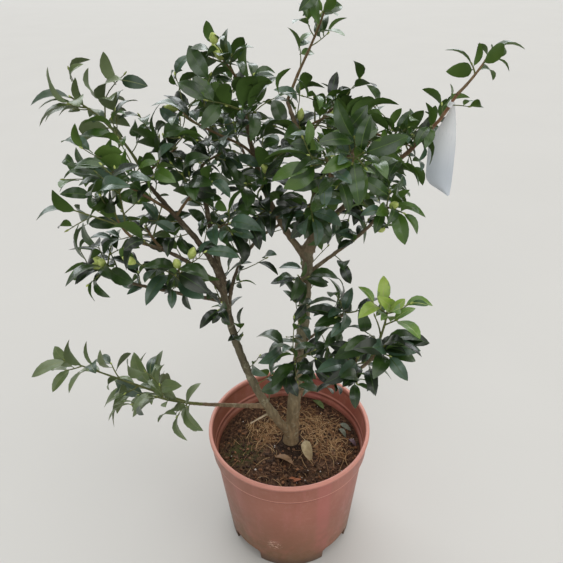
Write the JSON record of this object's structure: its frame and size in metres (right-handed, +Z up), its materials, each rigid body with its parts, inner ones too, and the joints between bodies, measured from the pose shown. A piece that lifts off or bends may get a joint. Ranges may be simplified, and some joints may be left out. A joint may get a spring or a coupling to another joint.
{
  "type": "potted camellia shrub",
  "caption": "Evergreen camellia shrub whose low-forked stems carry open sprays of glossy oval leaves, growing in soil in a flared plastic nursery pot, with a blank label on a bough.",
  "frame": {"origin": "centre of the pot's flat underside", "axes": "+Z up, +X to the right and -Y toward the viewer as the picture sees the plant"},
  "size_m": [0.6899, 0.4618, 0.932],
  "materials": {
    "terracotta": "matt, scuffed and dusty moulded plastic",
    "soil": "rough potting soil",
    "bark": "grey-brown bark, rough",
    "young_bark": "smooth brown young bark",
    "dark_leaf": "glossy dark green leaves",
    "mid_leaf": "glossy mid green leaves",
    "olive_leaf": "satin olive green leaves",
    "young_leaf": "glossy yellow-green young leaves",
    "label": "blank white plastic strip, satin"
  },
  "bodies": {
    "root": {"pot": "terracotta", "soil": "soil", "trunk": "bark", "second_stem": "bark", "leader_left": "young_bark", "leader_mid": "bark", "right_bough": "young_bark", "right_low_bough": "young_bark", "front_bough": "young_bark", "upper_right_bough": "young_bark", "left_leader": "young_bark", "left_upper_bough": "young_bark", "left_mid_bough": "young_bark", "left_reach_bough": "young_bark", "left_inner_bough": "young_bark", "low_left_bough": "young_bark", "low_right_bough": "young_bark", "trunk_right_bough": "young_bark", "back_left_bough": "young_bark", "back_right_bough": "young_bark", "top_left_spray": "dark_leaf", "top_left_whorl": "dark_leaf", "upper_left_spray": "dark_leaf", "left_upper_mass": "dark_leaf", "left_tall_shoot": "olive_leaf", "far_left_spray": "mid_leaf", "left_outer_mass": "dark_leaf", "left_mid_mass": "dark_leaf", "left_bud_spray": "dark_leaf", "left_reach_tuft": "dark_leaf", "second_stem_tuft": "dark_leaf", "low_left_spray": "olive_leaf", "low_left_tip": "olive_leaf", "low_left_tuft": "olive_leaf", "left_knot": "dark_leaf", "left_leader_mass": "dark_leaf", "centre_left_mass": "dark_leaf", "centre_low_left": "dark_leaf", "centre_mass": "dark_leaf", "centre_top_mass": "mid_leaf", "top_shoot": "mid_leaf", "upper_right_mass": "dark_leaf", "blue_right_mass": "mid_leaf", "right_mid_mass": "mid_leaf", "right_front_mass": "mid_leaf", "front_mid_mass": "mid_leaf", "right_low_mass": "mid_leaf", "trunk_node_tuft": "dark_leaf", "trunk_right_tuft": "dark_leaf", "low_right_mass": "dark_leaf", "low_right_inner": "dark_leaf", "young_shoot": "young_leaf", "trunk_front_mass": "dark_leaf", "right_shoot": "mid_leaf", "back_left_mass": "dark_leaf", "back_right_mass": "dark_leaf", "back_mid_mass": "dark_leaf", "left_inner_mass": "dark_leaf", "right_inner_mass": "dark_leaf", "label": "label"}
  },
  "joints": []
}
